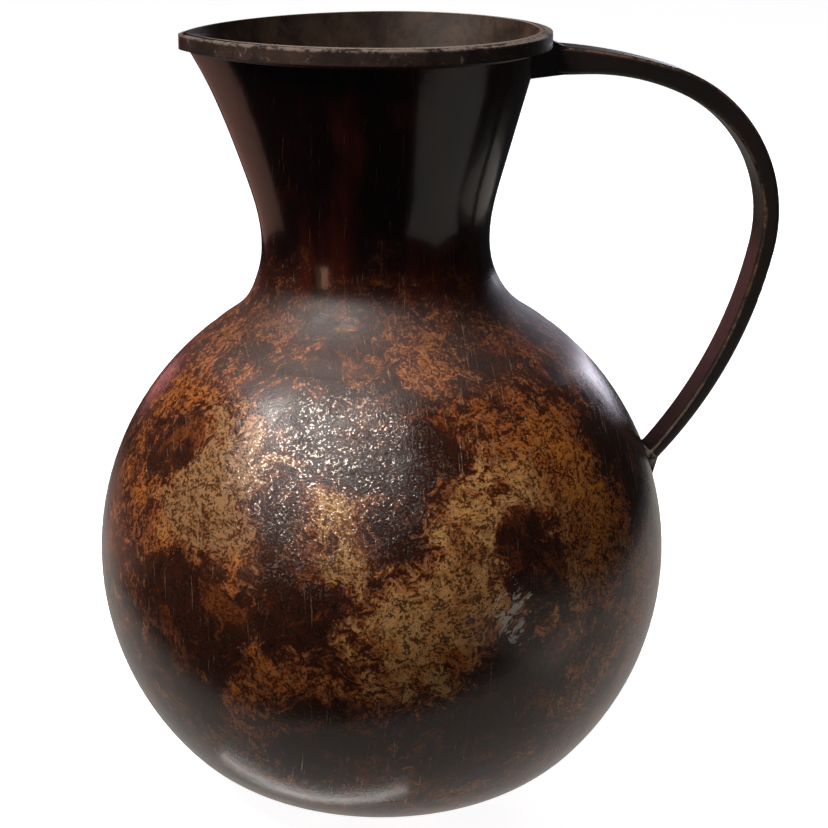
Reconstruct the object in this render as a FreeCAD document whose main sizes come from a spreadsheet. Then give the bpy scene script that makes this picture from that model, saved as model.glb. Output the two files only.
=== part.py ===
import FreeCAD, Part
import math
import os

import Sketcher

# Copper water jug, in millimetres. The origin is the centre of the flat that it stands on,
# +Z is up, the handle is on +X and the pouring spout is on -X.

DIMENSIONS = [
    ("wall", 1.8, "thickness of the raised copper sheet"),
    ("foot_radius", 30.0, "flat that the jug stands on"),
    ("belly_radius", 111.0, "widest outside radius, at the equator"),
    ("equator_height", 97.4, "height of the widest section"),
    ("neck_seam_height", 183.0, "height of the brazed joint between shoulder and neck"),
    ("seam_gap", 1.2, "width of the brazed joint between two shells"),
    ("seam_bead", 0.6, "how far the braze stands proud on the inside"),
    ("waist_radius", 41.6, "narrowest outside radius of the neck"),
    ("waist_height", 221.3, "height of the narrowest section"),
    ("flare_radius", 72.2, "arc between the waist and the straight flare"),
    ("flare_angle", 15.8, "slope of the neck above that arc, in degrees"),
    ("rim_top", 301.7, "height of the inner edge of the mouth"),
    ("rim_land_drop", 0.8, "fall of the bevelled top from inner to outer edge"),
    ("band_height", 6.1, "height of the rim band, top edge to underside"),
    ("band_thickness", 3.2, "rim band, measured outwards from the neck"),
    ("mouth_narrowing", 4.4, "how much the pinching draws in the sides of the mouth"),
    ("spout_root_swell", 3.2, "how far the spout's ridge stands out at the waist"),
    ("spout_root_length", 28.0, "height over which that ridge rises from the seam"),
    ("spout_lean", 4.4, "steady further reach of the ridge, from the seam to the band"),
    ("spout_lip", 5.2, "reach that the ridge adds late, just beneath the band"),
    ("spout_lip_power", 6.0, "how late that is"),
    ("spout_upright", 0.8, "share of the flare that the ridge gives up inside the band"),
    ("spout_tip_radius", 9.0, "outside rounding of the spout's tip"),
    ("spout_root_rounding", 0.75, "rounding of the ridge at the seam, as a share of the neck"),
    ("spout_rounding_power", 1.5, "how soon the ridge sharpens towards its tip"),
    ("braze_fillet", 1.5, "fillet of braze under the rim band"),
    ("handle_width", 16.0, "width of the strap"),
    ("handle_edge_radius", 1.8, "rounding of the strap's long edges"),
    ("handle_root_reach", 50.0, "where the strap's outline starts, inside the neck"),
    ("handle_root_straight", 15.0, "straight start of the strap's back"),
    ("handle_back_root", 295.8, "height of the strap's back at its root"),
    ("handle_back_slope", 4.0, "fall of the strap's back at its root, in degrees"),
    ("handle_back_knee_x", 113.56, "back outline: end of the first bend, reach"),
    ("handle_back_knee_z", 285.35, "back outline: end of the first bend, height"),
    ("handle_back_bow_x", 155.13, "back outline: end of the tight bend, reach"),
    ("handle_back_bow_z", 212.54, "back outline: end of the tight bend, height"),
    ("handle_back_end_x", 101.2, "back outline: end inside the belly, reach"),
    ("handle_back_end_z", 120.9, "back outline: end inside the belly, height"),
    ("handle_palm_root", 283.67, "height of the strap's palm side at its root"),
    ("handle_palm_start_x", 78.4, "palm outline: end of the straight, reach"),
    ("handle_palm_knee_x", 124.69, "palm outline: end of the first bend, reach"),
    ("handle_palm_knee_z", 270.49, "palm outline: end of the first bend, height"),
    ("handle_palm_bow_x", 148.81, "palm outline: end of the tight bend, reach"),
    ("handle_palm_bow_z", 213.48, "palm outline: end of the tight bend, height"),
    ("handle_palm_end_x", 101.68, "palm outline: end inside the belly, reach"),
    ("handle_palm_end_z", 127.23, "palm outline: end inside the belly, height"),
    ("handle_end_lean", 46.0, "slope at which the strap leaves the belly, in degrees"),
    ("upper_braze_spread", 1.2, "how far the upper braze spreads past the strap"),
    ("upper_braze_rise", 6.6, "height of the upper braze above the band's underside"),
    ("upper_braze_reach", 70.5, "how far out along the strap the upper braze runs"),
    ("lower_braze_spread", 1.3, "how far the lower braze spreads past the strap"),
    ("lower_braze_length", 4.5, "how far up the strap the lower braze runs"),
    ("braze_sink", 0.4, "depth at which each braze's thin end meets the strap"),
]

NODES = [
    "bowl",
    "belly_seam_braze",
    "shoulder",
    "neck_seam_braze",
    "neck",
    "rim_band",
    "rim_braze",
    "handle",
    "upper_handle_braze",
    "lower_handle_braze",
]

doc = FreeCAD.newDocument("copper_water_jug")

# The driving dimensions.
sheet = doc.addObject("Spreadsheet::Sheet", "Dimensions")
for row, (alias, value, meaning) in enumerate(DIMENSIONS, start=1):
    sheet.set("A%d" % row, alias)
    sheet.set("B%d" % row, str(value))
    sheet.setAlias("B%d" % row, alias)
    sheet.set("C%d" % row, meaning)
doc.recompute()


def size(alias):
    """Value of one driving dimension."""
    return float(sheet.get(alias))


def cell(formula, *aliases):
    """Expression text: a formula whose {0}, {1}, ... are cells of the sheet."""
    return formula.format(*["Dimensions." + alias for alias in aliases])


# ---------------------------------------------------------------------------------------
# Sketch helpers

ORIGIN = (-1, 1)
UPRIGHT_AXIS = -2


def new_body(name):
    return doc.addObject("PartDesign::Body", name)


def side_sketch(body, name):
    """Sketch on the body's own XZ plane: its x is the reach and its y is the height."""
    sketch = body.newObject("Sketcher::SketchObject", name)
    plane = [item for item in body.Origin.OriginFeatures if item.Role == "XZ_Plane"][0]
    sketch.AttachmentSupport = [(plane, "")]
    sketch.MapMode = "FlatFace"
    return sketch


def add_line(sketch, start, end):
    first = FreeCAD.Vector(start[0], start[1], 0)
    last = FreeCAD.Vector(end[0], end[1], 0)
    return sketch.addGeometry(Part.LineSegment(first, last), False)


def add_arc(sketch, centre, radius, start_angle, end_angle):
    middle = FreeCAD.Vector(centre[0], centre[1], 0)
    circle = Part.Circle(middle, FreeCAD.Vector(0, 0, 1), radius)
    return sketch.addGeometry(Part.ArcOfCircle(circle, start_angle, end_angle), False)


def join(sketch, first, last):
    sketch.addConstraint(Sketcher.Constraint("Coincident", *first, *last))


def blend(sketch, first, last):
    """Joins two ends with one shared tangent."""
    sketch.addConstraint(Sketcher.Constraint("Tangent", *first, *last))


def drive(sketch, kind, arguments, value, formula, name):
    """Adds a dimension and binds it to the sheet."""
    index = sketch.addConstraint(Sketcher.Constraint(kind, *arguments, value))
    sketch.renameConstraint(index, name)
    sketch.setExpression("Constraints." + name, formula)


def place_point(sketch, point, where, aliases, name):
    """Drives a sketch point's reach and height by two cells."""
    drive(sketch, "DistanceX", (*ORIGIN, *point), where[0], cell("{0}", aliases[0]), name + "_x")
    drive(sketch, "DistanceY", (*ORIGIN, *point), where[1], cell("{0}", aliases[1]), name + "_y")


def revolve(body, sketch, name):
    turned = body.newObject("PartDesign::Revolution", name)
    turned.Profile = sketch
    turned.ReferenceAxis = (sketch, ["V_Axis"])
    turned.Angle = 360.0
    body.Tip = turned
    return turned


# ---------------------------------------------------------------------------------------
# Sizes that follow from the driving ones

wall = size("wall")
foot = size("foot_radius")
belly = size("belly_radius")
equator = size("equator_height")
half_gap = size("seam_gap") / 2
bead = size("seam_bead")
waist = size("waist_radius")
waist_height = size("waist_height")
rim_top = size("rim_top")

# The belly is a ball. The bowl's corner arc touches the flat at the foot radius and the
# ball from inside.
inner_belly = belly - wall
corner = (belly**2 - equator**2 - foot**2) / (2 * (belly - equator))
corner_turn = math.atan2(corner - equator, foot)

# The hollow arc at the neck's root touches the ball of the shoulder and the waist.
root = (waist**2 + (waist_height - equator) ** 2 - belly**2) / (2 * (belly - waist))
root_foot = equator + (waist_height - equator) * belly / (belly + root)
neck_seam = size("neck_seam_height")
neck_foot = neck_seam + half_gap
band_foot = rim_top - size("band_height")


# ---------------------------------------------------------------------------------------
# Bowl: the lower half of the belly, raised in one sheet

bowl = new_body("bowl")
profile = side_sketch(bowl, "bowl_profile")
lip_turn = math.asin(-half_gap / belly)
inner_lip_turn = math.asin(-half_gap / inner_belly)
straight_down = -math.pi / 2

floor = add_line(profile, (0, 0), (foot, 0))
bend = add_arc(profile, (foot, corner), corner, straight_down, corner_turn)
flank = add_arc(profile, (0, equator), belly, corner_turn, lip_turn)
lip = add_line(
    profile,
    (belly * math.cos(lip_turn), equator - half_gap),
    (inner_belly * math.cos(inner_lip_turn), equator - half_gap),
)
inner_flank = add_arc(profile, (0, equator), inner_belly, corner_turn, inner_lip_turn)
inner_bend = add_arc(profile, (foot, corner), corner - wall, straight_down, corner_turn)
inner_floor = add_line(profile, (foot, wall), (0, wall))
core = add_line(profile, (0, wall), (0, 0))

join(profile, (floor, 1), ORIGIN)
profile.addConstraint(Sketcher.Constraint("Horizontal", floor))
blend(profile, (floor, 2), (bend, 1))
blend(profile, (bend, 2), (flank, 1))
join(profile, (flank, 2), (lip, 1))
profile.addConstraint(Sketcher.Constraint("Horizontal", lip))
join(profile, (lip, 2), (inner_flank, 2))
blend(profile, (inner_flank, 1), (inner_bend, 2))
blend(profile, (inner_bend, 1), (inner_floor, 1))
join(profile, (inner_flank, 3), (flank, 3))
join(profile, (inner_bend, 3), (bend, 3))
join(profile, (inner_floor, 2), (core, 1))
join(profile, (core, 2), ORIGIN)
profile.addConstraint(Sketcher.Constraint("PointOnObject", flank, 3, UPRIGHT_AXIS))
profile.addConstraint(Sketcher.Constraint("PointOnObject", inner_floor, 2, UPRIGHT_AXIS))
drive(profile, "DistanceX", (floor, 1, floor, 2), foot, cell("{0}", "foot_radius"), "foot")
drive(profile, "Radius", (flank,), belly, cell("{0}", "belly_radius"), "flank")
drive(
    profile, "DistanceY", (*ORIGIN, flank, 3), equator, cell("{0}", "equator_height"), "equator"
)
drive(
    profile,
    "Radius",
    (inner_flank,),
    inner_belly,
    cell("{0} - {1}", "belly_radius", "wall"),
    "inner_flank",
)
drive(
    profile,
    "DistanceY",
    (*ORIGIN, flank, 2),
    equator - half_gap,
    cell("{0} - {1} / 2", "equator_height", "seam_gap"),
    "lip",
)
revolve(bowl, profile, "bowl_turned")


# ---------------------------------------------------------------------------------------
# Shoulder: the upper half of the belly, a ball open at the equator and at the neck

shoulder = new_body("shoulder")
profile = side_sketch(shoulder, "shoulder_profile")
top = neck_seam - half_gap - equator
low_turn = math.asin(half_gap / belly)
high_turn = math.asin(top / belly)
inner_low_turn = math.asin(half_gap / inner_belly)
inner_high_turn = math.asin(top / inner_belly)
outer = add_arc(profile, (0, equator), belly, low_turn, high_turn)
upper_edge = add_line(
    profile,
    (belly * math.cos(high_turn), equator + top),
    (inner_belly * math.cos(inner_high_turn), equator + top),
)
inner = add_arc(profile, (0, equator), inner_belly, inner_low_turn, inner_high_turn)
lower_edge = add_line(
    profile,
    (inner_belly * math.cos(inner_low_turn), equator + half_gap),
    (belly * math.cos(low_turn), equator + half_gap),
)
join(profile, (outer, 2), (upper_edge, 1))
join(profile, (upper_edge, 2), (inner, 2))
join(profile, (inner, 1), (lower_edge, 1))
join(profile, (lower_edge, 2), (outer, 1))
join(profile, (inner, 3), (outer, 3))
profile.addConstraint(Sketcher.Constraint("Horizontal", upper_edge))
profile.addConstraint(Sketcher.Constraint("Horizontal", lower_edge))
profile.addConstraint(Sketcher.Constraint("PointOnObject", outer, 3, UPRIGHT_AXIS))
drive(profile, "Radius", (outer,), belly, cell("{0}", "belly_radius"), "ball")
drive(
    profile, "Radius", (inner,), inner_belly, cell("{0} - {1}", "belly_radius", "wall"), "inside"
)
drive(
    profile, "DistanceY", (*ORIGIN, outer, 3), equator, cell("{0}", "equator_height"), "equator"
)
drive(
    profile,
    "DistanceY",
    (*ORIGIN, outer, 1),
    equator + half_gap,
    cell("{0} + {1} / 2", "equator_height", "seam_gap"),
    "lower",
)
drive(
    profile,
    "DistanceY",
    (*ORIGIN, outer, 2),
    equator + top,
    cell("{0} - {1} / 2", "neck_seam_height", "seam_gap"),
    "upper",
)
revolve(shoulder, profile, "shoulder_turned")


# ---------------------------------------------------------------------------------------
# Neck: a flared tube, drawn out on one side into a ridge that ends in the spout


OUTLINE_POINTS = 32


def neck_radius(height, inset):
    """Radius on the handle's side; inset 0 is the outside, inset = wall the inside."""
    rise = height - waist_height
    flare = size("flare_radius")
    slope = math.radians(size("flare_angle"))
    straight = (flare + inset) * math.sin(slope)
    ball_top = equator + (root_foot - equator) * (belly - inset) / belly
    if height < ball_top:
        return math.sqrt((belly - inset) ** 2 - (height - equator) ** 2)
    if rise < 0:
        return waist + root - math.sqrt((root + inset) ** 2 - rise**2)
    if rise < straight:
        return waist + flare - math.sqrt((flare + inset) ** 2 - rise**2)
    start = waist + flare - (flare + inset) * math.cos(slope)
    return start + (rise - straight) * math.tan(slope)


def neck_outline(height, inset=0.0, spread=0.0):
    """Closed level outline: a round back, two long arcs that run forward and a small arc
    that rounds the spout, all tangent, taken at even turns of the outward direction.
    inset goes through the sheet; spread goes outwards in the level plane."""
    climb = (height - neck_foot) / (rim_top - neck_foot)
    swell = min(1.0, (height - neck_foot) / size("spout_root_length"))
    lean = min(1.0, (height - neck_foot) / (band_foot - neck_foot))
    ridge = size("spout_root_swell") * swell**2 * (3 - 2 * swell)
    ridge += size("spout_lean") * lean + size("spout_lip") * lean ** size("spout_lip_power")
    if height > band_foot:
        flared = neck_radius(height, 0.0) - neck_radius(band_foot, 0.0)
        ridge -= size("spout_upright") * flared
    narrowing = size("mouth_narrowing") * climb**2
    reach = neck_radius(height, 0.0)
    outwards = neck_radius(height, inset) - reach + spread
    late = (1 - min(climb, 1.0)) ** size("spout_rounding_power")
    tip = size("spout_root_rounding") * reach * late + size("spout_tip_radius") * (1 - late)
    half_width = reach - narrowing
    nose = reach + ridge - tip
    run = nose + narrowing
    bow = (half_width**2 + run**2 - tip**2) / (2 * (half_width - tip))
    bow_drop = bow - half_width
    tip_turn = math.pi - math.atan2(bow_drop, run)

    points = []
    for step in range(OUTLINE_POINTS):
        turn = 2 * math.pi * step / OUTLINE_POINTS
        one_side = min(turn, 2 * math.pi - turn)
        mirror = 1 if turn <= math.pi else -1
        if one_side <= math.pi / 2:
            centre_x, centre_y, radius = narrowing, 0.0, half_width
        elif one_side <= tip_turn:
            centre_x, centre_y, radius = narrowing, -bow_drop, bow
        else:
            centre_x, centre_y, radius = -nose, 0.0, tip
        x = centre_x + (radius + outwards) * math.cos(one_side)
        y = centre_y + (radius + outwards) * math.sin(one_side)
        points.append(FreeCAD.Vector(x, mirror * y, height))
    curve = Part.BSplineCurve()
    curve.interpolate(points, PeriodicFlag=True)
    return Part.Wire([curve.toShape()])


def neck_levels(top):
    """Heights of the neck's outlines: closer together where the profile turns most."""
    levels = [neck_foot, (neck_foot + root_foot) / 2]
    root_turn = math.asin((waist_height - root_foot) / root)
    for step in range(5):
        levels.append(waist_height - root * math.sin(root_turn * (5 - step) / 5))
    for step in range(9):
        levels.append(waist_height + (top - waist_height) * step / 8)
    return levels


def neck_solid(inset, top):
    return Part.makeLoft([neck_outline(level, inset) for level in neck_levels(top)], True)


def ruled_solid(outlines):
    return Part.makeLoft(outlines, True, True)


# The tube is made too tall and the space above the bevelled mouth is then cut away.
overshoot = 4.0
neck_outer = neck_solid(0.0, rim_top + overshoot)
neck_inner = neck_solid(wall, rim_top + overshoot)

# The mouth's top is one bevel that falls from the wall's inner edge to the band's outer edge.
band_shoulder = rim_top - size("rim_land_drop")
band_spread = size("band_thickness")
band_edge = neck_outline(band_shoulder, spread=band_spread)
band_hem = band_edge.copy()
band_hem.translate(FreeCAD.Vector(0, 0, band_foot - band_shoulder))
rim_block = ruled_solid([band_hem, band_edge, neck_outline(rim_top, inset=wall)])
tall = rim_top + 3 * overshoot - band_shoulder
keep_out = Part.makeBox(
    2 * belly, 2 * belly, tall, FreeCAD.Vector(-belly, -belly, band_shoulder - overshoot)
).cut(rim_block)


def add_piece(name, shape):
    """A sub-part whose shape is made from the sheet's sizes by the functions above."""
    piece = doc.addObject("Part::Feature", name)
    piece.Shape = shape
    piece.Placement = FreeCAD.Placement()
    return piece


add_piece("neck", neck_outer.cut(neck_inner).cut(keep_out))
add_piece("rim_band", rim_block.cut(neck_outer))

fillet = size("braze_fillet")
rim_fillet = ruled_solid(
    [
        neck_outline(band_foot - 1.3 * fillet, spread=-0.2 * fillet),
        neck_outline(band_foot, spread=fillet),
    ]
)
add_piece("rim_braze", rim_fillet.cut(neck_outer))


# ---------------------------------------------------------------------------------------
# Brazed seams between the shells, flush outside and slightly proud inside


def ring(points):
    """Solid ring turned about the jug's axis from (radius, height) corners."""
    corners = [FreeCAD.Vector(radius, 0, height) for radius, height in points]
    face = Part.Face(Part.makePolygon(corners + corners[:1]))
    return face.revolve(FreeCAD.Vector(0, 0, 0), FreeCAD.Vector(0, 0, 1), 360)


def ball_reach(height, inset):
    return math.sqrt((belly - inset) ** 2 - (height - equator) ** 2)


low = equator - half_gap
high = equator + half_gap
add_piece(
    "belly_seam_braze",
    ring(
        [
            (ball_reach(low, 0), low),
            (belly, equator),
            (ball_reach(high, 0), high),
            (ball_reach(high, wall), high),
            (belly - wall - bead, equator),
            (ball_reach(low, wall), low),
        ]
    ),
)

low = neck_seam - half_gap
add_piece(
    "neck_seam_braze",
    ring(
        [
            (ball_reach(low, 0), low),
            (neck_radius(neck_foot, 0), neck_foot),
            (neck_radius(neck_foot, wall), neck_foot),
            (ball_reach(neck_seam, wall) - bead, neck_seam - bead),
            (ball_reach(low, wall), low),
        ]
    ),
)


# ---------------------------------------------------------------------------------------
# Handle: one bent strap. Its side outline is two chains of tangent arcs.


def tangent_arc(start, heading, end):
    """Centre, radius and final heading of the arc that leaves start along heading."""
    run = end[0] - start[0]
    rise = end[1] - start[1]
    chord = math.hypot(run, rise)
    bend = math.atan2(rise, run) - heading
    bend = math.atan2(math.sin(bend), math.cos(bend))
    radius = chord / (2 * math.sin(bend))
    centre = (start[0] - radius * math.sin(heading), start[1] + radius * math.cos(heading))
    return centre, abs(radius), heading + 2 * bend


def falling_arc(sketch, start, heading, end):
    """Adds an arc that bends downwards; its start is its own point 2, its end point 1."""
    centre, radius, final = tangent_arc(start, heading, end)
    first = math.atan2(end[1] - centre[1], end[0] - centre[0])
    last = math.atan2(start[1] - centre[1], start[0] - centre[0])
    if last < first:
        last += 2 * math.pi
    return add_arc(sketch, centre, radius, first, last), final


strap = new_body("strap")
outline = side_sketch(strap, "strap_outline")
root_x = size("handle_root_reach")
back_root = (root_x, size("handle_back_root"))
palm_root = (root_x, size("handle_palm_root"))
palm_start = (size("handle_palm_start_x"), size("handle_palm_root"))
stations = ["knee", "bow", "end"]
back_aliases = [("handle_back_%s_x" % s, "handle_back_%s_z" % s) for s in stations]
palm_aliases = [("handle_palm_%s_x" % s, "handle_palm_%s_z" % s) for s in stations]
back_points = [(size(x), size(z)) for x, z in back_aliases]
palm_points = [(size(x), size(z)) for x, z in palm_aliases]

back_slope = math.radians(size("handle_back_slope"))
straight = size("handle_root_straight")
back_straight_end = (root_x + straight, back_root[1] - straight * math.tan(back_slope))
back_straight = add_line(outline, back_root, back_straight_end)
heading = -back_slope
where = back_straight_end
back_arcs = []
for point in back_points:
    arc, heading = falling_arc(outline, where, heading, point)
    back_arcs.append(arc)
    where = point

palm_straight = add_line(outline, palm_root, palm_start)
heading = 0.0
where = palm_start
palm_arcs = []
for point in palm_points:
    arc, heading = falling_arc(outline, where, heading, point)
    palm_arcs.append(arc)
    where = point

root_end = add_line(outline, palm_root, back_root)
belly_end = add_line(outline, back_points[-1], palm_points[-1])

join(outline, (root_end, 1), (palm_straight, 1))
join(outline, (root_end, 2), (back_straight, 1))
join(outline, (belly_end, 1), (back_arcs[-1], 1))
join(outline, (belly_end, 2), (palm_arcs[-1], 1))
outline.addConstraint(Sketcher.Constraint("Horizontal", palm_straight))
for start_line, arcs in ((back_straight, back_arcs), (palm_straight, palm_arcs)):
    blend(outline, (start_line, 2), (arcs[0], 2))
    for upper, lower in zip(arcs, arcs[1:]):
        blend(outline, (upper, 1), (lower, 2))
root_cells = ("handle_root_reach", "handle_back_root")
place_point(outline, (back_straight, 1), back_root, root_cells, "back_root")
root_cells = ("handle_root_reach", "handle_palm_root")
place_point(outline, (palm_straight, 1), palm_root, root_cells, "palm_root")
drive(
    outline,
    "DistanceX",
    (*ORIGIN, palm_straight, 2),
    palm_start[0],
    cell("{0}", "handle_palm_start_x"),
    "palm_start",
)
drive(
    outline,
    "DistanceX",
    (*ORIGIN, back_straight, 2),
    back_straight_end[0],
    cell("{0} + {1}", "handle_root_reach", "handle_root_straight"),
    "back_start_x",
)
drive(
    outline,
    "DistanceY",
    (*ORIGIN, back_straight, 2),
    back_straight_end[1],
    cell(
        "{0} - {1} * tan({2} * 1 deg)",
        "handle_back_root",
        "handle_root_straight",
        "handle_back_slope",
    ),
    "back_start_y",
)
for station, arc, point, aliases in zip(stations, back_arcs, back_points, back_aliases):
    place_point(outline, (arc, 1), point, aliases, "back_" + station)
for station, arc, point, aliases in zip(stations, palm_arcs, palm_points, palm_aliases):
    place_point(outline, (arc, 1), point, aliases, "palm_" + station)

pad = strap.newObject("PartDesign::Pad", "strap_pad")
pad.Profile = outline
pad.SideType = "Symmetric"
pad.setExpression("Length", cell("{0}", "handle_width"))
strap.Tip = pad
doc.recompute()

# The strap's long edges lie in its two flanks; the short ones cross them or end them.
flank_y = size("handle_width") / 2
long_edges = []
for number, edge in enumerate(pad.Shape.Edges, start=1):
    ends = [vertex.Point for vertex in edge.Vertexes]
    level = all(abs(abs(end.y) - flank_y) < 0.01 for end in ends)
    flat = abs(ends[0].y - ends[-1].y) < 0.01
    at_root = all(abs(end.x - root_x) < 0.01 for end in ends)
    at_belly = edge.Length < 12 and all(end.z < 128 for end in ends)
    if level and flat and not at_root and not at_belly and abs(ends[0].x - ends[-1].x) > 0.01:
        long_edges.append("Edge%d" % number)
rounded = strap.newObject("PartDesign::Fillet", "strap_rounded")
rounded.Base = (pad, long_edges)
rounded.setExpression("Radius", cell("{0}", "handle_edge_radius"))
strap.Tip = rounded
doc.recompute()

# The strap's ends are shaped to the neck and to the belly that they meet.
ball = doc.addObject("Part::Sphere", "belly_ball")
ball.setExpression("Radius", cell("{0}", "belly_radius"))
ball.setExpression("Placement.Base.z", cell("{0}", "equator_height"))
neck_form = add_piece("neck_form", neck_outer)
handle_to_belly = doc.addObject("Part::Cut", "handle_to_belly")
handle_to_belly.Base = strap
handle_to_belly.Tool = ball
handle = doc.addObject("Part::Cut", "handle")
handle.Base = handle_to_belly
handle.Tool = neck_form
doc.recompute()


# ---------------------------------------------------------------------------------------
# Brazes at the handle's two ends: collars that taper until they vanish into the strap


def strap_frame(middle, along, half_depth, half_breadth):
    """Rectangle across the strap, square to the direction along (both in the side view)."""
    across = FreeCAD.Vector(-along[1], 0, along[0]) * half_depth
    sideways = FreeCAD.Vector(0, half_breadth, 0)
    centre = FreeCAD.Vector(middle[0], 0, middle[1])
    corners = [
        centre + across + sideways,
        centre - across + sideways,
        centre - across - sideways,
        centre + across - sideways,
    ]
    return Part.makePolygon(corners + corners[:1])


half_strap = size("handle_width") / 2
sink = size("braze_sink")

spread = size("upper_braze_spread")
reach = size("upper_braze_reach")
back_z = back_root[1] - (reach - root_x) * math.tan(back_slope)
palm_z = palm_root[1]
low_z = palm_z - spread
high_z = band_foot + size("upper_braze_rise")
wide_end = strap_frame(
    (root_x + 2, (low_z + high_z) / 2), (1, 0), (high_z - low_z) / 2, half_strap + spread
)
narrow_end = strap_frame(
    (reach, (palm_z + back_z) / 2), (1, 0), (back_z - palm_z) / 2 - sink, half_strap - sink
)
upper_braze = ruled_solid([wide_end, narrow_end]).cut(strap.Shape)
for neighbour in (neck_outer, rim_block, rim_fillet):
    upper_braze = upper_braze.cut(neighbour)
add_piece("upper_handle_braze", upper_braze)

# The strap's end runs into the belly; the collar starts there, deeper than the surface.
spread = size("lower_braze_spread")
length = size("lower_braze_length")
end_span = (palm_points[-1][0] - back_points[-1][0], palm_points[-1][1] - back_points[-1][1])
end_middle = (back_points[-1][0] + end_span[0] / 2, back_points[-1][1] + end_span[1] / 2)
lean = math.radians(size("handle_end_lean"))
along = (math.cos(lean), math.sin(lean))
half_depth = abs(end_span[1] * along[0] - end_span[0] * along[1]) / 2
toward = end_middle[0] * along[0] + (end_middle[1] - equator) * along[1]
depth = math.sqrt(
    toward**2 + belly**2 - end_middle[0] ** 2 - (end_middle[1] - equator) ** 2
) - toward
grown = spread + depth * (spread + sink) / length
tip = (
    end_middle[0] + (depth + length) * along[0],
    end_middle[1] + (depth + length) * along[1],
)
wide_end = strap_frame(end_middle, along, half_depth + grown, half_strap + grown)
narrow_end = strap_frame(tip, along, half_depth - sink, half_strap - sink)
lower_braze = ruled_solid([wide_end, narrow_end]).cut(strap.Shape).cut(ball.Shape)
add_piece("lower_handle_braze", lower_braze)
doc.recompute()


# ---------------------------------------------------------------------------------------
# Checks, then one file per piece

for item in doc.Objects:
    if "Invalid" in item.State or "Error" in item.State:
        raise RuntimeError("%s failed: %s" % (item.Label, item.State))

os.makedirs("parts", exist_ok=True)
for name in NODES:
    shape = doc.getObject(name).Shape
    if shape.isNull() or not shape.isValid():
        raise RuntimeError(name + " has no valid shape")
    if len(shape.Solids) != 1:
        raise RuntimeError("%s has %d solids" % (name, len(shape.Solids)))
    shape.exportStep(os.path.join("parts", name + ".step"))
    box = shape.BoundBox
    print("%-20s %9.1f mm3, %.1f mm high" % (name, shape.Volume, box.ZLength))
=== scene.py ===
"""Patinated copper water jug: finishes for its shells, rim, strap handle and brazes, with a
plain pale floor, soft lights and a camera."""

import math

import bmesh
import bpy
from mathutils import Matrix, Quaternion, Vector

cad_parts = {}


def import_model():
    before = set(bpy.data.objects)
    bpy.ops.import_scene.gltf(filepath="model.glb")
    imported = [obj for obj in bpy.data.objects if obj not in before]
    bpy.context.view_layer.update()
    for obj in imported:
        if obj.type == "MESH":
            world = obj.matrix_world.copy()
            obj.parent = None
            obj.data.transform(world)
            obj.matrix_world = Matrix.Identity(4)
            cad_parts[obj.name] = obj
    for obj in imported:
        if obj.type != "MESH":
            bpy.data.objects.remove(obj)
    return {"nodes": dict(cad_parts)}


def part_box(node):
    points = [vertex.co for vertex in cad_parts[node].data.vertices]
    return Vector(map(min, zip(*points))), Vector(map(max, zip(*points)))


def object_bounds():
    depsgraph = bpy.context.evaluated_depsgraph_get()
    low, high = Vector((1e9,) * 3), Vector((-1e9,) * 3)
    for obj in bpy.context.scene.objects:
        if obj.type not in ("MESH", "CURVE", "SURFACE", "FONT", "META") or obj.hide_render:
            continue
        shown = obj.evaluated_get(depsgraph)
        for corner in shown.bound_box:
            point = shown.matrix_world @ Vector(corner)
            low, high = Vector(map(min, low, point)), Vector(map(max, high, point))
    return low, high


bl_info = {
    "name": "Copper Water Jug",
    "version": (1, 0, 0),
    "blender": (4, 5, 0),
    "location": "3D View > Sidebar > Jug",
    "description": "Finishes and stage for a patinated copper water jug",
    "category": "Object",
}

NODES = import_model()["nodes"]
CAD_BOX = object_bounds()

# Heights and radii on the jug, in metres.
JUG_HEIGHT = CAD_BOX[1].z
BELLY_RADIUS = CAD_BOX[1].y
BELLY_CENTRE = (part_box("bowl")[1].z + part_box("shoulder")[0].z) / 2
NECK_ROOT = 0.184

# Noise scales of the patina: the larger the number, the finer the grain.
CLOUDS = 18.0
BLOTCHES = 60.0
MOTTLE = 85.0
VEINS = 95.0
CHIPS = 210.0
GRAIN = 330.0
SPECKS = 1000.0
PRICKS = 1500.0

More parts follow.
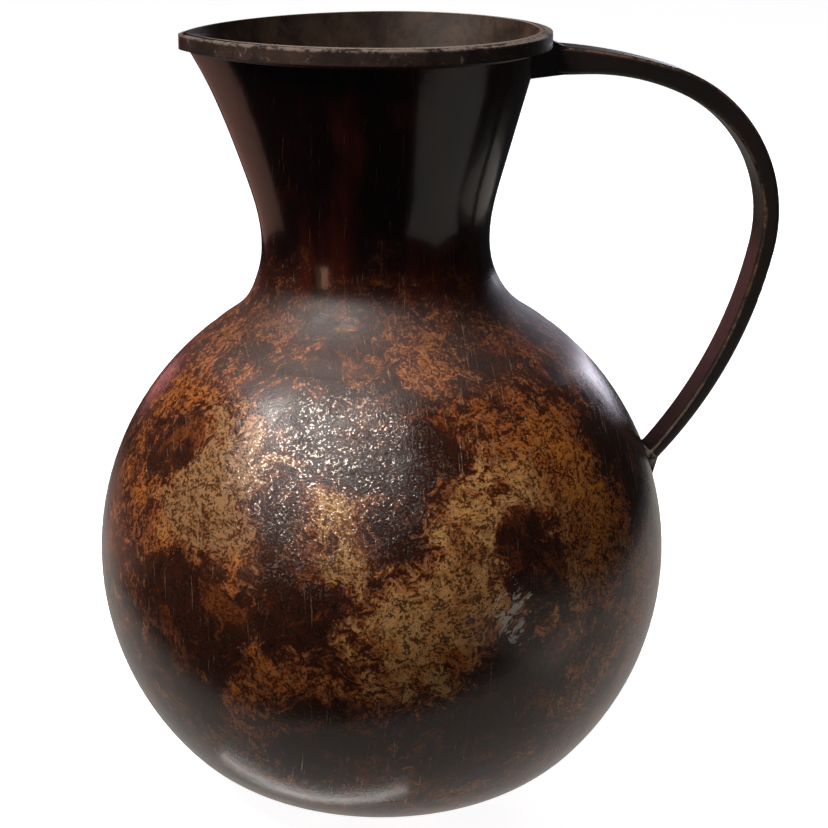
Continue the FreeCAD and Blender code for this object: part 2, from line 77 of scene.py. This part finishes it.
# Patches of the belly's patina: azimuth in degrees, height, radius, and how much lighter
# (or, if negative, darker) the metal is there.
PATCHES = [
    (-46, 0.158, 0.020, 0.20),
    (-44, 0.140, 0.022, 0.20),
    (-54, 0.127, 0.016, 0.14),
    (-35, 0.128, 0.010, 0.14),
    (-20, 0.140, 0.016, 0.20),
    (-18, 0.126, 0.014, 0.18),
    (5, 0.142, 0.018, 0.18),
    (10, 0.128, 0.017, 0.22),
    (20, 0.155, 0.018, 0.18),
    (36, 0.166, 0.018, 0.12),
    (38, 0.145, 0.020, 0.18),
    (-8, 0.106, 0.022, 0.17),
    (6, 0.112, 0.022, 0.20),
    (3, 0.092, 0.020, 0.16),
    (-22, 0.078, 0.024, 0.12),
    (-6, 0.074, 0.018, 0.10),
    (-41, 0.074, 0.014, 0.06),
    (6, 0.187, 0.022, 0.12),
    (-70, 0.175, 0.020, 0.03),
    (-76, 0.132, 0.018, 0.03),
    (-82, 0.160, 0.018, 0.04),
    (32, 0.118, 0.024, 0.10),
    (32, 0.080, 0.024, 0.06),
    (44, 0.105, 0.030, 0.13),
    (62, 0.100, 0.026, 0.11),
    (40, 0.130, 0.020, 0.10),
    (-88, 0.140, 0.040, -0.07),
    (-60, 0.153, 0.016, -0.20),
    (-30, 0.140, 0.014, -0.20),
    (-29, 0.122, 0.012, -0.18),
    (-50, 0.098, 0.022, -0.20),
    (-41, 0.090, 0.012, -0.18),
    (-24, 0.102, 0.013, -0.20),
    (-17, 0.092, 0.010, -0.14),
    (17, 0.128, 0.011, -0.38),
    (21, 0.118, 0.010, -0.22),
    (15, 0.088, 0.012, -0.24),
    (18, 0.075, 0.014, -0.18),
    (-4, 0.162, 0.020, -0.16),
    (-12, 0.175, 0.024, -0.12),
    (24, 0.183, 0.018, -0.14),
    (62, 0.140, 0.028, -0.16),
    (-52, 0.072, 0.018, -0.20),
    (-22, 0.056, 0.020, -0.20),
    (6, 0.058, 0.024, -0.16),
]
PATCH_SPREAD = 1.6

# Ways that a lamp may face, and the lamps' colours.
BELLY = (0.0, 0.0, 0.15)
DOWN = (0.0, 0.0, -1.0)
UP = (0.0, 0.0, 1.0)
WARM = (1.0, 0.97, 0.94)
COOL = (0.88, 0.85, 1.0)
ROSE = (1.0, 0.35, 0.36)
AMBER = (1.0, 0.55, 0.35)
PEACH = (1.0, 0.52, 0.40)
IVORY = (1.0, 0.93, 0.86)

# Lamps around the jug: name, place, way it faces (None faces the belly), width and height,
# watts, colour and turn about its own beam in degrees.
LAMPS = [
    ("window_left", (-0.93, -0.17, 1.27), DOWN, (0.28, 0.6), 22.0, WARM, -21.7),
    ("window_right", (-0.48, -0.37, 1.27), DOWN, (0.28, 0.6), 22.0, WARM, -21.7),
    ("back_window", (0.95, 1.45, 0.42), None, (0.7, 0.5), 6.0, COOL, 0.0),
    ("back_left_card", (-0.50, 1.65, 0.22), None, (0.26, 0.36), 0.45, ROSE, 0.0),
    ("left_panel", (-1.6, -0.9, 0.50), None, (0.26, 0.7), 2.0, AMBER, 0.0),
    ("low_right_card", (0.32, -0.29, 0.02), UP, (0.4, 0.34), 0.17, IVORY, 0.0),
    ("low_left_card", (-0.40, 0.45, 0.02), UP, (0.3, 0.6), 0.28, PEACH, 0.0),
    ("foot_glow", (-0.045, -0.062, 0.002), UP, (0.10, 0.004), 0.0045, WARM, 30.0),
]
ROOM_COLOUR = (0.9, 0.92, 1.0, 1.0)
ROOM_STRENGTH = 0.02


# ---------------------------------------------------------------------------------------
# Shader maths


class Value:
    """A socket whose operators add Math nodes."""

    def __init__(self, finish, socket):
        self.finish = finish
        self.socket = socket

    def _math(self, operation, *operands, clamp=False):
        settings = {"operation": operation, "use_clamp": clamp}
        return self.finish.node("ShaderNodeMath", 0, settings, dict(enumerate(operands)))

    def __add__(self, other):
        return self._math("ADD", self, other)

    def __radd__(self, other):
        return self._math("ADD", other, self)

    def __sub__(self, other):
        return self._math("SUBTRACT", self, other)

    def __rsub__(self, other):
        return self._math("SUBTRACT", other, self)

    def __mul__(self, other):
        return self._math("MULTIPLY", self, other)

    def __rmul__(self, other):
        return self._math("MULTIPLY", other, self)

    def __abs__(self):
        return self._math("ABSOLUTE", self)

    def clamp(self):
        """The value held between 0 and 1."""
        return self._math("ADD", self, 0.0, clamp=True)

    def step(self, low, high):
        """Smooth 0 to 1 as the value goes from low to high; low may be the larger."""
        return self.finish.node(
            "ShaderNodeMapRange",
            "Result",
            {"interpolation_type": "SMOOTHSTEP"},
            {"Value": self, "From Min": low, "From Max": high},
        )


class Finish:
    """A material under construction: one Principled BSDF and what feeds it."""

    def __init__(self, name, constants):
        self.material = bpy.data.materials.new(name)
        self.material.use_nodes = True
        self.nodes = self.material.node_tree.nodes
        self.links = self.material.node_tree.links
        self.shader = self.nodes["Principled BSDF"]
        self.set(constants)
        self.place = self.node("ShaderNodeTexCoord", "Object", {}, {})
        self.facing = self.node("ShaderNodeTexCoord", "Normal", {}, {})

    def set(self, sockets):
        """Feeds the shader's own sockets and returns the material."""
        for name, value in sockets.items():
            self.feed(self.shader.inputs[name], value)
        return self.material

    def feed(self, socket, value):
        """Links a Value to a socket, or sets the socket to a plain number or colour."""
        if isinstance(value, Value):
            self.links.new(value.socket, socket)
        elif socket.type == "RGBA":
            socket.default_value = (*value, 1.0)
        else:
            socket.default_value = value

    def node(self, kind, output, settings, sockets):
        """Adds a node: its settings first, then the values or links of its sockets. Gives
        one output, or a list of them all if output is None."""
        node = self.nodes.new(kind)
        for name, value in settings.items():
            if name == "stops":
                self.place_stops(node.color_ramp.elements, value)
            else:
                setattr(node, name, value)
        for name, value in sockets.items():
            self.feed(node.inputs[name], value)
        if output is None:
            return [Value(self, socket) for socket in node.outputs]
        return Value(self, node.outputs[output])

    def place_stops(self, elements, stops):
        """Spreads a colour ramp's (position, colour) stops over it."""
        while len(elements) < len(stops):
            elements.new(0.5)
        for element, (position, colour) in zip(elements, stops):
            element.position = position
            element.color = (*colour, 1.0)

    def split(self, vector):
        """The vector's x, y and z."""
        return self.node("ShaderNodeSeparateXYZ", None, {}, {0: vector})

    def vector(self, operation, output, first, second):
        sockets = {0: first, 1: second}
        return self.node("ShaderNodeVectorMath", output, {"operation": operation}, sockets)

    def turned(self, vector, turn, stretch):
        """The vector turned and stretched, for grain and streaks."""
        sockets = {"Vector": vector, "Rotation": turn, "Scale": stretch}
        return self.node("ShaderNodeMapping", "Vector", {}, sockets)

    def noise(self, vector, scale, detail=4.0, roughness=0.6, output="Fac"):
        sockets = {"Vector": vector, "Scale": scale, "Detail": detail, "Roughness": roughness}
        return self.node("ShaderNodeTexNoise", output, {}, sockets)

    def warped(self, vector, scale, reach):
        """The vector pushed about by a colour noise, so that patches get ragged edges."""
        shift = self.noise(vector, scale, detail=3.0, output="Color")
        centred = self.vector("SUBTRACT", 0, shift, (0.5, 0.5, 0.5))
        scaled = self.node(
            "ShaderNodeVectorMath", 0, {"operation": "SCALE"}, {0: centred, "Scale": reach}
        )
        return self.vector("ADD", 0, vector, scaled)

    def ramp(self, value, stops):
        """Colour ramp from a list of (position, colour)."""
        return self.node("ShaderNodeValToRGB", "Color", {"stops": stops}, {0: value})

    def mix(self, mask, first, second):
        """The first colour where the mask is 0 and the second where it is 1."""
        return self.node(
            "ShaderNodeMix", 2, {"data_type": "RGBA"}, {"Factor": mask, 6: first, 7: second}
        )

    def near(self, vector, centre, radius):
        """1 at the centre of a soft ball, 0 outside it."""
        return self.vector("DISTANCE", "Value", vector, centre).step(radius, 0.0)

    def bump(self, height, distance, strength, under=None):
        """Normals raised by the height, on top of an earlier relief if there is one."""
        sockets = {"Strength": strength, "Distance": distance, "Height": height}
        if under:
            sockets["Normal"] = under
        return self.node("ShaderNodeBump", "Normal", {}, sockets)


# ---------------------------------------------------------------------------------------
# Finishes


def around(azimuth, height):
    """Point on the belly; azimuth 0 is the front (-Y), growing towards the handle."""
    reach = math.sqrt(max(0.0, BELLY_RADIUS**2 - (height - BELLY_CENTRE) ** 2))
    turn = math.radians(azimuth)
    return (reach * math.sin(turn), -reach * math.cos(turn), height)


def scratches(finish, turn, width, length, cut):
    """Sparse hairlines across the surface, all lying about one way."""
    grain = finish.turned(finish.place, turn, (1 / width, 1 / length, 1 / length))
    line = finish.noise(grain, 1.0, detail=2.0, roughness=0.7)
    return line.step(cut, cut + 0.03)


class ShellGrain:
    """The noises and masks that the colour, gloss and relief of the shells share."""

    def __init__(self, finish):
        self.x, self.y, self.z = finish.split(finish.place)
        self.ragged = finish.warped(finish.warped(finish.place, 34.0, 0.020), 150.0, 0.008)
        self.broad = finish.noise(self.ragged, CLOUDS, detail=7.0, roughness=0.66)
        self.middle = finish.noise(self.ragged, MOTTLE, detail=7.0, roughness=0.72)
        self.grainy = finish.noise(self.ragged, GRAIN, detail=5.0, roughness=0.75)
        self.specks = finish.noise(finish.place, SPECKS, detail=3.0, roughness=0.65)
        self.grains = (self.grainy * 0.35 + self.specks * 0.65).step(0.535, 0.58)
        self.scuffed = finish.near(self.ragged, around(-20, 0.153), 0.056).step(0.05, 0.6)
        wavy = self.z + (self.broad - 0.5) * 0.12 + (self.middle - 0.5) * 0.06
        self.upward = wavy.step(NECK_ROOT, NECK_ROOT + 0.042)
        self.root = self.z.step(NECK_ROOT - 0.014, NECK_ROOT) * self.z.step(
            NECK_ROOT + 0.030, NECK_ROOT + 0.016
        )
        self.hair = self.hairlines(finish)
        self.chips = self.chipped(finish)
        self.inside = self.inner_wall(finish)
        # Top edge of the neck: partly real wear, partly a painted highlight of pale metal.
        lip_wear_and_highlight = self.z.step(JUG_HEIGHT - 0.00035, JUG_HEIGHT - 0.00012)
        self.lip_wear_and_highlight = lip_wear_and_highlight * self.grainy.step(0.25, 0.5)

    def hairlines(self, finish):
        """Scratches that lie three ways and fade out up the neck."""
        hair = scratches(finish, (0.3, 0.5, 0.2), 0.0007, 0.03, 0.68)
        hair = hair + scratches(finish, (0.2, -0.9, 0.4), 0.0006, 0.022, 0.69)
        hair = hair + scratches(finish, (1.2, 0.1, -0.5), 0.0006, 0.026, 0.69)
        return (hair * self.grainy.step(0.38, 0.6) * (1 - self.upward * 0.85)).clamp()

    def chipped(self, finish):
        """One small patch where the patina has flaked off."""
        zone = finish.near(finish.place, around(17, 0.105), 0.018)
        flakes = finish.noise(self.ragged, CHIPS, detail=5.0, roughness=0.7)
        flakes = self.middle * 0.3 + flakes * 0.7 + zone * 0.14
        return flakes.step(0.625, 0.650) * zone.step(0.02, 0.12)

    def inner_wall(self, finish):
        """1 on the faces that look towards the jug's axis or up from its floor."""
        facing_x, facing_y, facing_z = finish.split(finish.facing)
        depth = (BELLY_CENTRE - self.z).clamp()
        outward = self.x * facing_x + self.y * facing_y - depth * facing_z
        return outward.step(0.002, -0.002)


def belly_patina(finish, grain, colours):
    """Rust, orange and ochre patches over near-black, veined, stippled and worn to specks
    of metal."""
    tone = grain.broad * 0.60 + grain.middle * 0.80 + grain.grainy * 0.42 - 0.458
    for azimuth, height, radius, change in PATCHES:
        centre = around(azimuth, height)
        tone = tone + finish.near(grain.ragged, centre, radius * PATCH_SPREAD) * change
    colour = finish.ramp(
        tone,
        [
            (0.41, colours.belly_black),
            (0.47, colours.belly_maroon),
            (0.53, colours.belly_rust),
            (0.60, colours.belly_orange),
            (0.72, colours.belly_ochre),
        ],
    )
    olive = finish.near(grain.ragged, around(2, 0.118), 0.085).step(0.1, 0.5)
    olive = olive * tone.step(0.52, 0.62) * grain.middle.step(0.35, 0.55)
    colour = finish.mix(olive, colour, colours.belly_olive)
    tan = finish.near(grain.ragged, around(-46, 0.150), 0.050).step(0.1, 0.5)
    colour = finish.mix(tan * tone.step(0.50, 0.60), colour, colours.belly_tan)

    blotches = finish.noise(grain.ragged, BLOTCHES, detail=6.0, roughness=0.75)
    colour = finish.mix(blotches.step(0.50, 0.38) * 0.75, colour, colours.belly_rust)
    veins = abs(finish.noise(grain.ragged, VEINS, detail=6.0, roughness=0.7) - 0.5)
    colour = finish.mix(veins.step(0.030, 0.004) * 0.6, colour, colours.belly_maroon)
    stipple = (grain.grainy * 0.55 + grain.specks * 0.45).step(0.505, 0.470)
    colour = finish.mix(stipple * 0.88, colour, colours.belly_maroon)
    worn = grain.grains * (tone.step(0.44, 0.56) * 0.36 + 0.08)
    colour = finish.mix(worn, colour, colours.worn_copper)
    return finish.mix(grain.grains * grain.scuffed * 0.75, colour, colours.bare_grey)


def neck_patina(finish, grain, colours):
    """Near-black with faint maroon streaks up and down."""
    streaks = finish.noise(finish.turned(finish.place, (0, 0, 0), (60, 60, 9)), 1.0)
    streaks = (streaks * 0.7 + grain.middle * 0.3).step(0.42, 0.68)
    return finish.mix(streaks, colours.neck_black, colours.neck_maroon)


def lining_patina(finish, grain, colours):
    """Dull olive-brown inside of the shells, with a few hairlines."""
    blotchy = grain.middle.step(0.35, 0.65)
    colour = finish.mix(blotchy, colours.inside_dark, colours.inside_olive)
    return finish.mix(grain.hair * 0.5, colour, colours.worn_copper)


def shell_relief(finish, grain):
    """Low hammered wave, mottle, pricks where the metal is rubbed, chips and hairlines."""
    rubbed = grain.middle.step(0.30, 0.50) * (1 - grain.upward * 0.9) * (1 - grain.inside * 0.6)
    pricks = finish.noise(finish.place, PRICKS, detail=2.0) * rubbed
    pricks = pricks * (grain.scuffed * 0.75 + 0.25)
    relief = finish.bump(finish.noise(finish.place, 14.0, detail=1.0), 0.0010, 0.35)
    relief = finish.bump(grain.middle, 0.0002, 0.2, under=relief)
    relief = finish.bump(pricks, 0.00034, 1.0, under=relief)
    return finish.bump(grain.chips * 0.5 - grain.hair * 0.6, 0.00025, 0.6, under=relief)


def shell_patina(colours):
    """Mottled brown patina on the raised shells: a patchy belly, a near-black maroon neck,
    an olive-brown inside and a top edge worn pale, with a painted highlight along it."""
    finish = Finish(
        "raised_copper_patina",
        {"IOR": 1.45, "Specular IOR Level": 0.5, "Coat Roughness": 0.05},
    )
    grain = ShellGrain(finish)
    belly = belly_patina(finish, grain, colours)
    neck = neck_patina(finish, grain, colours)
    colour = finish.mix(grain.upward, belly, neck)
    colour = finish.mix(grain.hair * 0.4, colour, colours.worn_copper)
    colour = finish.mix(grain.chips * 0.85, colour, colours.bare_grey)
    colour = finish.mix(grain.inside, colour, lining_patina(finish, grain, colours))
    # Pale top edge of the neck: wear and painted highlight.
    colour = finish.mix(grain.lip_wear_and_highlight * 0.9, colour, colours.rim_wear_and_highlight)

    bare = grain.grains * (1 - grain.upward) * (1 - grain.inside) * (grain.scuffed * 0.5 + 0.4)
    dull = grain.specks.step(0.5, 0.7) * (1 - grain.upward * 0.8)
    roughness = 0.13 + grain.grainy * 0.10 + dull * 0.08 + grain.inside * 0.25
    roughness = roughness + grain.root * 0.42 - grain.upward * 0.02
    roughness = roughness + grain.scuffed * (0.16 - grain.grains * 0.18)
    coat = 0.08 + grain.upward * 0.10 - grain.inside * 0.15 - grain.chips * 0.2
    coat = coat - grain.root * 0.12 - grain.scuffed * 0.06
    return finish.set(
        {
            "Base Color": colour,
            "Metallic": (0.05 + grain.hair * 0.3 + grain.lip_wear_and_highlight * 0.5 + bare).clamp(),
            "Roughness": roughness,
            "Coat Weight": coat.clamp(),
            "Normal": shell_relief(finish, grain),
        }
    )


def rim_patina(colours):
    """Brown-grey handled rim: worn pale on its edges, with a painted highlight there, and
    painted shade darkening the crevice beneath.
    """
    finish = Finish("handled_rim_copper", {"Coat Roughness": 0.2})
    height = finish.split(finish.place)[2]
    middle = finish.noise(finish.warped(finish.place, 80.0, 0.01), 70.0, 6.0, 0.7)
    grainy = finish.noise(finish.place, 420.0, 5.0, 0.7)
    foot, top = (corner.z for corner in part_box("rim_band"))

    colour = finish.mix(middle.step(0.38, 0.66), colours.rim_dark, colours.rim_brown)
    flecks = (middle * 0.3 + grainy * 0.7).step(0.56, 0.64)
    colour = finish.mix(flecks * 0.35, colour, colours.rim_wear_and_highlight)
    # Pale top edge of the band: partly real wear, partly a painted highlight.
    top_edge_wear_and_highlight = height.step(top - 0.0013, top - 0.0005)
    top_edge_wear_and_highlight = top_edge_wear_and_highlight * (middle * 0.5 + grainy * 0.5).step(0.44, 0.54)
    colour = finish.mix(top_edge_wear_and_highlight * 0.85, colour, colours.rim_wear_and_highlight)
    # Painted shade: the foot of the band and the braze under it darkened to black where the
    # crevice lies in shadow.
    crevice = height.step(foot + 0.0008, foot - 0.0004)
    colour = finish.mix(crevice * 0.9, colour, colours.belly_black)

    relief = finish.bump(middle, 0.0006, 0.6)
    return finish.set(
        {
            "Base Color": colour,
            "Metallic": 0.35 + top_edge_wear_and_highlight * 0.4,
            "Roughness": 0.42 + grainy * 0.2 - top_edge_wear_and_highlight * 0.1,
            "Coat Weight": (0.45 - crevice * 0.4).clamp(),
            "Normal": finish.bump(grainy, 0.00012, 0.6, under=relief),
        }
    )


def strap_patina(colours):
    """Near-black brown strap, rubbed lighter along its rounded edges, and darkened on its flat
    sides by painted shade.
    """
    finish = Finish("strap_handle_patina", {"Coat Roughness": 0.22})
    middle = finish.noise(finish.warped(finish.place, 60.0, 0.008), 60.0, 6.0, 0.68)
    grainy = finish.noise(finish.place, 500.0, 5.0, 0.7)
    hair = scratches(finish, (0.4, 0.6, 0.1), 0.0006, 0.02, 0.70)

    colour = finish.mix(middle.step(0.36, 0.72), colours.strap_black, colours.strap_brown)
    across = abs(finish.split(finish.facing)[1])
    rubbed = across.step(0.35, 0.6) * across.step(0.97, 0.85) * (middle + grainy).step(0.9, 1.15)
    colour = finish.mix((rubbed * 0.25 + hair * 0.12).clamp(), colour, colours.worn_copper)
    # Painted shade: the strap's flat sides darkened towards black.
    painted_flank_shade = across.step(0.85, 0.97)
    colour = finish.mix(painted_flank_shade * 0.5, colour, colours.strap_black)

    relief = finish.bump(middle, 0.0005, 0.5)
    return finish.set(
        {
            "Base Color": colour,
            "Metallic": 0.05 + rubbed * 0.3,
            "Roughness": 0.36 + grainy * 0.2,
            "Coat Weight": 0.18 - grainy * 0.1,
            "Normal": finish.bump(grainy - hair * 0.5, 0.00012, 0.6, under=relief),
        }
    )


def braze_metal(colours):
    """Lumpy pale brazing metal, dull and stained dark in blotches."""
    finish = Finish("pale_braze", {"Specular IOR Level": 0.5})
    lumps = finish.noise(finish.place, 260.0, 5.0, 0.65)
    fine = finish.noise(finish.place, 1200.0, detail=3.0)
    return finish.set(
        {
            "Base Color": finish.mix(
                lumps.step(0.35, 0.6), colours.strap_black, colours.braze_pale
            ),
            "Metallic": 0.5,
            "Roughness": 0.5 + fine * 0.2,
            "Normal": finish.bump(lumps + fine * 0.3, 0.0006, 0.8),
        }
    )


def pale_floor(stage):
    """Plain pale floor that gives off an even light of its own."""
    finish = Finish("pale_floor", {"Roughness": 0.7, "Emission Strength": stage.floor_glow})
    shade = tuple(channel * 0.98 for channel in stage.floor_colour)
    soft = finish.noise(finish.place, 3.0, detail=2.0)
    tint = finish.mix(soft, stage.floor_colour, shade)
    return finish.set({"Base Color": tint, "Emission Color": tint})


# ---------------------------------------------------------------------------------------
# Settings


def colour_setting(name, description, default):
    return bpy.props.FloatVectorProperty(
        name=name,
        description=description,
        default=default,
        subtype="COLOR",
        size=3,
        min=0.0,
        max=1.0,
    )


def place_setting(name, description, default):
    return bpy.props.FloatVectorProperty(
        name=name, description=description, default=default, subtype="TRANSLATION", size=3
    )


def turn_setting(name, description, degrees):
    return bpy.props.FloatProperty(
        name=name, description=description, default=math.radians(degrees), subtype="ANGLE"
    )


class JugColours(bpy.types.PropertyGroup):
    """Colours of the patina, the worn metal and the braze"""

    belly_black: colour_setting("Belly black", "Darkest patches", (0.010, 0.003, 0.002))
    belly_maroon: colour_setting("Belly maroon", "Dark brown patina", (0.030, 0.008, 0.004))
    belly_rust: colour_setting("Belly rust", "Orange-brown patina", (0.160, 0.040, 0.008))
    belly_orange: colour_setting("Belly orange", "Orange patina", (0.260, 0.066, 0.007))
    belly_ochre: colour_setting("Belly ochre", "Ochre patina", (0.370, 0.122, 0.014))
    belly_olive: colour_setting("Belly olive", "Olive patina", (0.440, 0.230, 0.078))
    belly_tan: colour_setting("Belly tan", "Tan patina", (0.220, 0.112, 0.044))
    worn_copper: colour_setting("Worn copper", "Scratched metal", (0.420, 0.250, 0.150))
    bare_grey: colour_setting("Bare grey", "Chipped patina", (0.380, 0.340, 0.300))
    neck_black: colour_setting("Neck black", "Darkest neck patina", (0.004, 0.001, 0.001))
    neck_maroon: colour_setting("Neck maroon", "Neck patina", (0.026, 0.004, 0.002))
    inside_dark: colour_setting("Inside dark", "Lining, darker", (0.014, 0.007, 0.005))
    inside_olive: colour_setting("Inside olive", "Lining, lighter", (0.040, 0.024, 0.015))
    rim_dark: colour_setting("Rim dark", "Rim patina, darker", (0.016, 0.008, 0.006))
    rim_brown: colour_setting("Rim brown", "Rim patina, lighter", (0.050, 0.026, 0.019))
    # Pale rubbed metal, also used as the painted highlight on the top edges of the rim and neck.
    rim_wear_and_highlight: colour_setting("Worn rim", "Rubbed edges", (0.420, 0.330, 0.280))
    strap_black: colour_setting("Strap black", "Handle patina, darker", (0.007, 0.004, 0.003))
    strap_brown: colour_setting("Strap brown", "Handle patina, lighter", (0.022, 0.012, 0.009))
    braze_pale: colour_setting("Braze", "Brazing metal", (0.400, 0.370, 0.340))


class JugStage(bpy.types.PropertyGroup):
    """Floor, table glow and camera"""

    floor_colour: colour_setting("Floor colour", "Plain pale floor", (0.86, 0.86, 0.87))
    floor_glow: bpy.props.FloatProperty(
        name="Floor glow", description="Light given off by the floor", default=1.1
    )
    table_watts: bpy.props.FloatProperty(
        name="Table light", description="Power of the round table's glow", default=0.85
    )
    table_radius: bpy.props.FloatProperty(
        name="Table radius",
        description="Radius of the round table that the jug reflects",
        default=0.44,
        unit="LENGTH",
    )
    table_centre: place_setting(
        "Table centre", "Middle of the round table", (0.15, 0.25, 0.0006)
    )
    lens: bpy.props.FloatProperty(
        name="Lens", description="Camera lens on a 36 mm frame, in mm", default=103.8
    )
    camera_place: place_setting(
        "Camera place", "Where the camera stands", (-0.1388, -0.8892, 0.4134)
    )
    camera_heading: turn_setting("Camera heading", "Turn of the view from +Y to +X", 9.675)
    camera_fall: turn_setting("Camera fall", "How far the view points down", 16.248)
    camera_roll: turn_setting("Camera roll", "Tilt of the view", 0.14)


# ---------------------------------------------------------------------------------------
# Operators


def dress(material, *names):
    """Gives CAD nodes a finish in place of their plain one."""
    for name in names:
        for slot in NODES[name].material_slots:
            slot.material = material


class JUG_OT_shells(bpy.types.Operator):
    """Finish the bowl, the shoulder, the neck and the seams between them"""

    bl_idname = "jug.shells"
    bl_label = "Shells"

    def execute(self, context):
        material = shell_patina(context.scene.jug_colours)
        dress(material, "bowl", "belly_seam_braze", "shoulder", "neck_seam_braze", "neck")
        return {"FINISHED"}


class JUG_OT_rim(bpy.types.Operator):
    """Finish the rim band and the braze in the crevice beneath it"""

    bl_idname = "jug.rim"
    bl_label = "Rim"

    def execute(self, context):
        dress(rim_patina(context.scene.jug_colours), "rim_band", "rim_braze")
        return {"FINISHED"}


class JUG_OT_handle(bpy.types.Operator):
    """Finish the strap handle and its two brazes"""

    bl_idname = "jug.handle"
    bl_label = "Handle"

    def execute(self, context):
        colours = context.scene.jug_colours
        dress(strap_patina(colours), "handle", "upper_handle_braze")
        dress(braze_metal(colours), "lower_handle_braze")
        return {"FINISHED"}


def hang_lamp(name, place, facing, size, watts, colour, spin):
    """Adds an area light that the camera itself doesn't see."""
    data = bpy.data.lights.new(name, "AREA")
    data.shape = "RECTANGLE"
    data.size, data.size_y = size
    data.energy = watts
    data.color = colour
    lamp = bpy.data.objects.new(name, data)
    lamp.location = place
    beam = Vector(facing) if facing else Vector(BELLY) - Vector(place)
    turn = Quaternion((0, 0, 1), math.radians(spin))
    lamp.rotation_mode = "QUATERNION"
    lamp.rotation_quaternion = beam.to_track_quat("-Z", "Y") @ turn
    lamp.visible_camera = False
    bpy.context.scene.collection.objects.link(lamp)
    return lamp


class JUG_OT_stage(bpy.types.Operator):
    """Set the floor, the soft lights and the camera"""

    bl_idname = "jug.stage"
    bl_label = "Stage"

    def execute(self, context):
        stage = context.scene.jug_stage
        self.lay_floor(context.scene, stage)
        self.hang_lamps(context.scene, stage)
        self.set_camera(context.scene, stage)
        return {"FINISHED"}

    def lay_floor(self, scene, stage):
        """Lays a floor that the camera sees and the jug doesn't reflect."""
        form = bmesh.new()
        bmesh.ops.create_grid(form, size=8.0)
        mesh = bpy.data.meshes.new("pale_floor")
        form.to_mesh(mesh)
        form.free()
        mesh.materials.append(pale_floor(stage))
        floor = bpy.data.objects.new("pale_floor", mesh)
        floor.visible_glossy = False
        floor.visible_diffuse = False
        scene.collection.objects.link(floor)

    def hang_lamps(self, scene, stage):
        """Hangs the lamps, a round one for the table, and dims the room."""
        for lamp in LAMPS:
            hang_lamp(*lamp)
        width = 2 * stage.table_radius
        size = (width, width)
        table = hang_lamp(
            "round_table", stage.table_centre, UP, size, stage.table_watts, IVORY, 0.0
        )
        table.data.shape = "DISK"
        world = bpy.data.worlds.new("dim_room")
        world.use_nodes = True
        room = world.node_tree.nodes["Background"].inputs
        room["Color"].default_value = ROOM_COLOUR
        room["Strength"].default_value = ROOM_STRENGTH
        scene.world = world

    def set_camera(self, scene, stage):
        """Stands the camera in front of the jug, looking a little down."""
        data = bpy.data.cameras.new("jug_camera")
        data.lens = stage.lens
        data.sensor_width = 36.0
        camera = bpy.data.objects.new("jug_camera", data)
        camera.location = stage.camera_place
        turn = Matrix.Rotation(-stage.camera_heading, 4, "Z")
        tilt = Matrix.Rotation(math.radians(90) - stage.camera_fall, 4, "X")
        roll = Matrix.Rotation(stage.camera_roll, 4, "Z")
        camera.rotation_euler = (turn @ tilt @ roll).to_euler()
        scene.collection.objects.link(camera)
        scene.camera = camera
        scene.view_settings.view_transform = "Standard"


class JUG_PT_panel(bpy.types.Panel):
    """The jug's operators and settings"""

    bl_idname = "JUG_PT_panel"
    bl_label = "Copper Water Jug"
    bl_space_type = "VIEW_3D"
    bl_region_type = "UI"
    bl_category = "Jug"

    def draw(self, context):
        for operator in OPERATORS:
            self.layout.operator(operator.bl_idname)
        for settings in (context.scene.jug_colours, context.scene.jug_stage):
            for name in settings.__annotations__:
                self.layout.prop(settings, name)


OPERATORS = [JUG_OT_shells, JUG_OT_rim, JUG_OT_handle, JUG_OT_stage]
CLASSES = [JugColours, JugStage, *OPERATORS, JUG_PT_panel]


def register():
    for item in CLASSES:
        bpy.utils.register_class(item)
    bpy.types.Scene.jug_colours = bpy.props.PointerProperty(type=JugColours)
    bpy.types.Scene.jug_stage = bpy.props.PointerProperty(type=JugStage)


def unregister():
    del bpy.types.Scene.jug_stage
    del bpy.types.Scene.jug_colours
    for item in reversed(CLASSES):
        bpy.utils.unregister_class(item)


def main():
    register()
    bpy.ops.jug.shells()
    bpy.ops.jug.rim()
    bpy.ops.jug.handle()
    bpy.ops.jug.stage()


if __name__ == "__main__":
    main()
